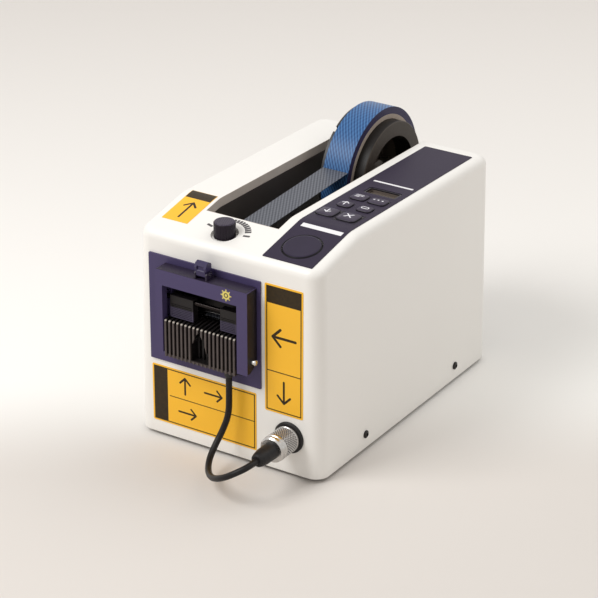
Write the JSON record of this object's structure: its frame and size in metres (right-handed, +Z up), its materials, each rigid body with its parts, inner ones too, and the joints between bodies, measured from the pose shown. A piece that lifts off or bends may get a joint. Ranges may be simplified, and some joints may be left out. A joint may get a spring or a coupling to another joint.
{
  "type": "electric tape dispenser",
  "caption": "Desk-standing powered tape dispenser: a reel of tape in an open well, feed rollers, guarded drop blade, control keys and plug-in sensor lead.",
  "frame": {"origin": "on the desk, at the middle of the machine's footprint, taken without the sensor lead and its plug", "axes": "+X to the right seen from the front, +Y from the front towards the rear, +Z up"},
  "size_m": [0.1402, 0.2854, 0.1745],
  "materials": {
    "white_casing": "moulded plastic with a very fine satin texture",
    "plated_steel": "zinc plated sheet",
    "bright_steel": "ground steel rod",
    "blade_steel": "ground tool steel",
    "black_rubber": "soft black rubber",
    "boot_rubber": "smooth moulded rubber",
    "roller_rubber": "ribbed grey-black rubber",
    "black_screw": "black oxide screw",
    "black_plastic": "textured black plastic",
    "shaft_plastic": "light grey moulded plastic",
    "hub_plastic": "dark grey-brown moulded plastic",
    "flange_plastic": "thin black plastic disc",
    "core_card": "wound grey-brown card",
    "blue_tape": "blue adhesive tape, fine layers on the sides",
    "tape_film": "adhesive side of the blue tape",
    "roller_plastic": "smooth black roller plastic",
    "bush_brass": "sintered brass",
    "gear_nylon": "natural nylon",
    "motor_can": "pressed steel can",
    "violet_plastic": "satin dark violet plastic",
    "guide_plastic": "ridged violet-grey plastic",
    "comb_plastic": "warm dark grey moulded ribs",
    "panel_film": "printed dark violet film",
    "button_plastic": "dark violet button cap",
    "key_plastic": "dark violet key cap",
    "display_lens": "tinted clear window",
    "circuit_board": "green circuit board",
    "knob_plastic": "near-black violet fluted knob",
    "socket_rubber": "black gasket and thread",
    "plug_metal": "nickel plated, knurled",
    "cord_sheath": "satin black sheath",
    "supply_parts": "transformer and capacitors on a board",
    "label_amber": "amber film label"
  },
  "bodies": {
    "root": {"casing": "white_casing", "base_plate": "plated_steel", "rubber_feet": "black_rubber", "side_screws": "black_screw", "well_liner": "black_plastic", "frame_plate_left": "plated_steel", "frame_plate_right": "plated_steel", "cross_rods": "bright_steel", "reel_shaft": "shaft_plastic", "tape_web": "tape_film", "roller_bushes": "bush_brass", "feed_motor": "motor_can", "fixed_blade": "blade_steel", "cutter_motor": "motor_can", "front_bezel": "violet_plastic", "bezel_pins": "bright_steel", "rib_comb": "comb_plastic", "tape_sensor": "black_plastic", "cord_gland": "black_rubber", "panel_film": "panel_film", "display_lens": "display_lens", "control_boards": "circuit_board", "potentiometer": "black_plastic", "panel_socket": "socket_rubber", "plug_body": "plug_metal", "plug_boot": "boot_rubber", "sensor_cord": "cord_sheath", "power_inlet": "black_plastic", "power_supply": "supply_parts", "face_labels": "label_amber"},
    "reel": {"reel_hub": "hub_plastic", "reel_flange": "flange_plastic", "paper_core": "core_card", "tape_roll": "blue_tape"},
    "guide_roller_body": {"guide_roller": "roller_plastic"},
    "feed_roller_body": {"feed_roller": "roller_rubber", "feed_shaft": "bright_steel", "drive_gear": "gear_nylon"},
    "pressure_roller_body": {"pressure_roller": "roller_rubber", "pressure_shaft": "bright_steel", "pressure_gear": "gear_nylon"},
    "pinion_body": {"motor_pinion": "gear_nylon"},
    "crank_body": {"cutter_crank": "gear_nylon"},
    "blade_body": {"moving_blade": "blade_steel", "blade_carrier": "black_plastic"},
    "cover_body": {"front_cover": "violet_plastic", "latch_pin": "bright_steel"},
    "latch_body": {"cover_latch": "violet_plastic"},
    "guide_left_body": {"tape_guide_left": "guide_plastic"},
    "guide_right_body": {"tape_guide_right": "guide_plastic"},
    "start_button_body": {"start_button": "button_plastic"},
    "down_key_body": {"down_key": "key_plastic"},
    "stop_key_body": {"stop_key": "key_plastic"},
    "up_key_body": {"up_key": "key_plastic"},
    "set_key_body": {"set_key": "key_plastic"},
    "mode_key_body": {"mode_key": "key_plastic"},
    "count_key_body": {"count_key": "key_plastic"},
    "knob_body": {"adjust_knob": "knob_plastic"},
    "ring_body": {"coupling_ring": "plug_metal"},
    "switch_body": {"power_switch": "black_plastic"}
  },
  "joints": [
    {"name": "reel_spin", "type": "hinge", "parent": "root", "child": "reel", "pos_m": [0, 0.0755, 0.1283], "axis": [1, 0, 0], "continuous": true},
    {"name": "guide_roller_spin", "type": "hinge", "parent": "root", "child": "guide_roller_body", "pos_m": [0, -0.07255, 0.1336], "axis": [1, 0, 0], "continuous": true},
    {"name": "feed_roller_spin", "type": "hinge", "parent": "root", "child": "feed_roller_body", "pos_m": [0, -0.0879, 0.0836], "axis": [1, 0, 0], "continuous": true},
    {"name": "pressure_roller_spin", "type": "hinge", "parent": "root", "child": "pressure_roller_body", "pos_m": [0, -0.0879, 0.1016], "axis": [1, 0, 0], "continuous": true},
    {"name": "motor_pinion_spin", "type": "hinge", "parent": "root", "child": "pinion_body", "pos_m": [0.026, -0.07826, 0.07211], "axis": [1, 0, 0], "continuous": true},
    {"name": "cutter_crank_turn", "type": "hinge", "parent": "root", "child": "crank_body", "pos_m": [-0.044, -0.0859, 0.11], "axis": [1, 0, 0], "range_deg": [-100, 0]},
    {"name": "blade_drop", "type": "slide", "parent": "root", "child": "blade_body", "axis": [0, 0, -1], "range_m": [0, 0.00705]},
    {"name": "cover_swing", "type": "hinge", "parent": "root", "child": "cover_body", "pos_m": [0, -0.1169, 0.0765], "axis": [1, 0, 0], "range_deg": [0, 60]},
    {"name": "latch_rock", "type": "hinge", "parent": "cover_body", "child": "latch_body", "pos_m": [-0.0111, -0.1175, 0.1276], "axis": [1, 0, 0], "range_deg": [0, 18], "stiffness_Nm_per_rad": 0.02},
    {"name": "guide_left_slide", "type": "slide", "parent": "root", "child": "guide_left_body", "axis": [1, 0, 0], "range_m": [-0.001, 0.006]},
    {"name": "guide_right_slide", "type": "slide", "parent": "root", "child": "guide_right_body", "axis": [1, 0, 0], "range_m": [-0.006, 0.001]},
    {"name": "start_button_press", "type": "slide", "parent": "root", "child": "start_button_body", "axis": [0, 0.1921, -0.9814], "range_m": [0, 0.0012], "stiffness_N_per_m": 300},
    {"name": "down_key_press", "type": "slide", "parent": "root", "child": "down_key_body", "axis": [0, -0.0199, -0.9998], "range_m": [0, 0.0008], "stiffness_N_per_m": 300},
    {"name": "stop_key_press", "type": "slide", "parent": "root", "child": "stop_key_body", "axis": [0, -0.0199, -0.9998], "range_m": [0, 0.0008], "stiffness_N_per_m": 300},
    {"name": "up_key_press", "type": "slide", "parent": "root", "child": "up_key_body", "axis": [0, -0.0199, -0.9998], "range_m": [0, 0.0008], "stiffness_N_per_m": 300},
    {"name": "set_key_press", "type": "slide", "parent": "root", "child": "set_key_body", "axis": [0, -0.0199, -0.9998], "range_m": [0, 0.0008], "stiffness_N_per_m": 300},
    {"name": "mode_key_press", "type": "slide", "parent": "root", "child": "mode_key_body", "axis": [0, -0.0199, -0.9998], "range_m": [0, 0.0008], "stiffness_N_per_m": 300},
    {"name": "count_key_press", "type": "slide", "parent": "root", "child": "count_key_body", "axis": [0, -0.0199, -0.9998], "range_m": [0, 0.0008], "stiffness_N_per_m": 300},
    {"name": "adjust_knob_turn", "type": "hinge", "parent": "root", "child": "knob_body", "pos_m": [-0.0111, -0.0946, 0.1432], "axis": [0, 0, 1], "range_deg": [-135, 135]},
    {"name": "coupling_ring_turn", "type": "hinge", "parent": "root", "child": "ring_body", "pos_m": [0.046, -0.1099, 0.028], "axis": [0, 1, 0], "range_deg": [-540, 0]},
    {"name": "power_switch_rock", "type": "hinge", "parent": "root", "child": "switch_body", "pos_m": [0.045, 0.1006, 0.052], "axis": [0, 0, 1], "range_deg": [-18, 0]}
  ],
  "couplings": [
    {"joint": "pressure_roller_spin", "follows": "feed_roller_spin", "ratio": -1},
    {"joint": "motor_pinion_spin", "follows": "feed_roller_spin", "ratio": -1.5},
    {"joint": "cutter_crank_turn", "follows": "blade_drop", "rad_per_m": -247.63}
  ]
}
